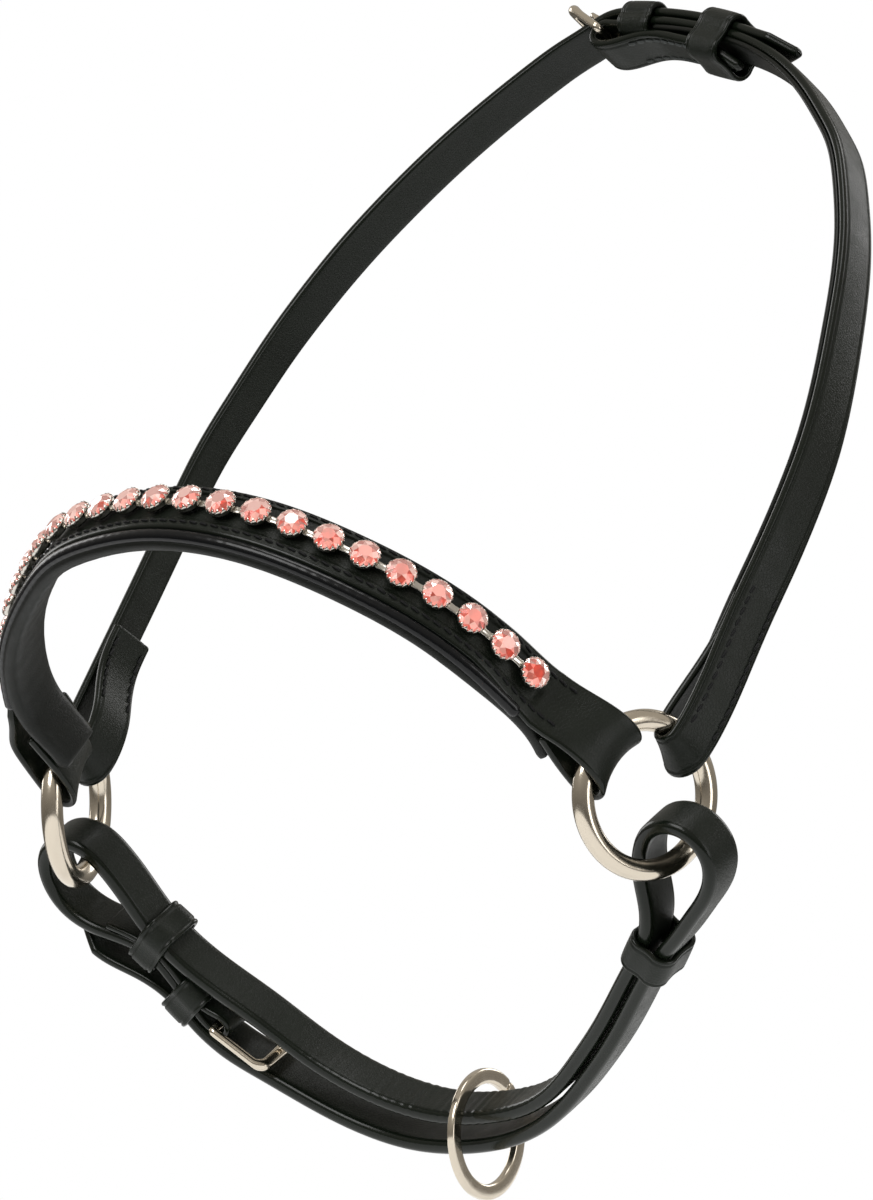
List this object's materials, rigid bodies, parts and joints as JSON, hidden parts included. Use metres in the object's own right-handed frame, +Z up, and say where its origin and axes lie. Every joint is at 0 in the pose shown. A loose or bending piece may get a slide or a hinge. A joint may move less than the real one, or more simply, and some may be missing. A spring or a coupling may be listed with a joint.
{
  "type": "leather headcollar",
  "caption": "Black leather show headcollar with a crystal noseband, buckled crown strap, looped double chin strap, side rings and a lead ring.",
  "frame": {"origin": "on the poll, at the middle of the crown strap's inner face", "axes": "+X the horse's left, +Y back along the horse, +Z up"},
  "size_m": [0.2473, 0.2263, 0.3249],
  "materials": {
    "leather": "black bridle leather, satin",
    "patent_leather": "black polished piping, glossy",
    "padding": "soft foam, hidden",
    "thread": "waxed black thread",
    "nickel_plate": "polished nickel plate",
    "silver_setting": "polished silver plated cups",
    "crystal": "faceted salmon pink glass"
  },
  "bodies": {
    "headpiece": {"crown_left_strap": "leather", "crown_left_lining": "leather", "crown_billet_strap": "leather", "crown_fixed_keeper": "leather", "crown_thread": "thread"},
    "ring_left": {"side_ring_left": "nickel_plate"},
    "ring_right": {"side_ring_right": "nickel_plate"},
    "noseband": {"noseband_strap": "leather", "noseband_padding": "padding", "noseband_lining": "leather", "noseband_piping": "patent_leather", "noseband_thread": "thread", "crystal_cups": "silver_setting", "crystal_stones": "crystal", "crystal_links": "silver_setting"},
    "chin": {"chin_strap": "leather", "chin_fixed_keeper": "leather"},
    "lead_ring": {"lead_ring": "nickel_plate"},
    "crown_buckle": {"crown_buckle_frame": "nickel_plate"},
    "crown_tongue": {"crown_buckle_tongue": "nickel_plate"},
    "chin_buckle": {"chin_buckle_frame": "nickel_plate"},
    "chin_tongue": {"chin_buckle_tongue": "nickel_plate"},
    "crown_loose_keeper": {"crown_loose_keeper": "leather"},
    "chin_far_keeper": {"chin_far_keeper": "leather"},
    "chin_near_keeper": {"chin_near_keeper": "leather"}
  },
  "joints": [
    {"name": "ring_left_spin", "type": "hinge", "parent": "headpiece", "child": "ring_left", "pos_m": [0.1035, -0.12801, -0.19867], "axis": [0.9744, -0.225, 0], "continuous": true},
    {"name": "ring_right_spin", "type": "hinge", "parent": "headpiece", "child": "ring_right", "pos_m": [-0.1035, -0.12801, -0.20167], "axis": [0.9135, 0.4067, 0], "continuous": true},
    {"name": "noseband_swing", "type": "hinge", "parent": "headpiece", "child": "noseband", "pos_m": [0, -0.12801, -0.20017], "axis": [1, 0, 0], "range_deg": [-6, 6]},
    {"name": "chin_strap_swing", "type": "hinge", "parent": "headpiece", "child": "chin", "pos_m": [0, -0.12801, -0.20017], "axis": [1, 0, 0], "range_deg": [-10, 10]},
    {"name": "lead_ring_swing", "type": "hinge", "parent": "chin", "child": "lead_ring", "pos_m": [-0.0036, -0.07327, -0.2782], "axis": [1, 0, 0], "range_deg": [-20, 4]},
    {"name": "crown_buckle_tilt", "type": "hinge", "parent": "headpiece", "child": "crown_buckle", "pos_m": [-0.0258, 0.00259, 0.00404], "axis": [0, 0.8425, -0.5388], "range_deg": [-3, 3]},
    {"name": "crown_tongue_lift", "type": "hinge", "parent": "crown_buckle", "child": "crown_tongue", "pos_m": [-0.0258, 0.00259, 0.00404], "axis": [0, 0.8425, -0.5388], "range_deg": [0, 18]},
    {"name": "chin_buckle_tilt", "type": "hinge", "parent": "chin", "child": "chin_buckle", "pos_m": [-0.0795, -0.09253, -0.25876], "axis": [0, 0.8554, 0.518], "range_deg": [-3, 3]},
    {"name": "chin_tongue_lift", "type": "hinge", "parent": "chin_buckle", "child": "chin_tongue", "pos_m": [-0.0795, -0.09253, -0.25876], "axis": [0, -0.8554, -0.518], "range_deg": [0, 12]},
    {"name": "crown_keeper_slide", "type": "slide", "parent": "headpiece", "child": "crown_loose_keeper", "axis": [0.9766, -0.1158, -0.181], "range_m": [-0.0015, 0.0015]},
    {"name": "chin_far_keeper_slide", "type": "slide", "parent": "chin", "child": "chin_far_keeper", "axis": [0.6222, 0.4055, -0.6696], "range_m": [-0.001, 0.001]},
    {"name": "chin_near_keeper_slide", "type": "slide", "parent": "chin", "child": "chin_near_keeper", "axis": [-0.7021, 0.3689, -0.6091], "range_m": [-0.001, 0.0015]}
  ]
}
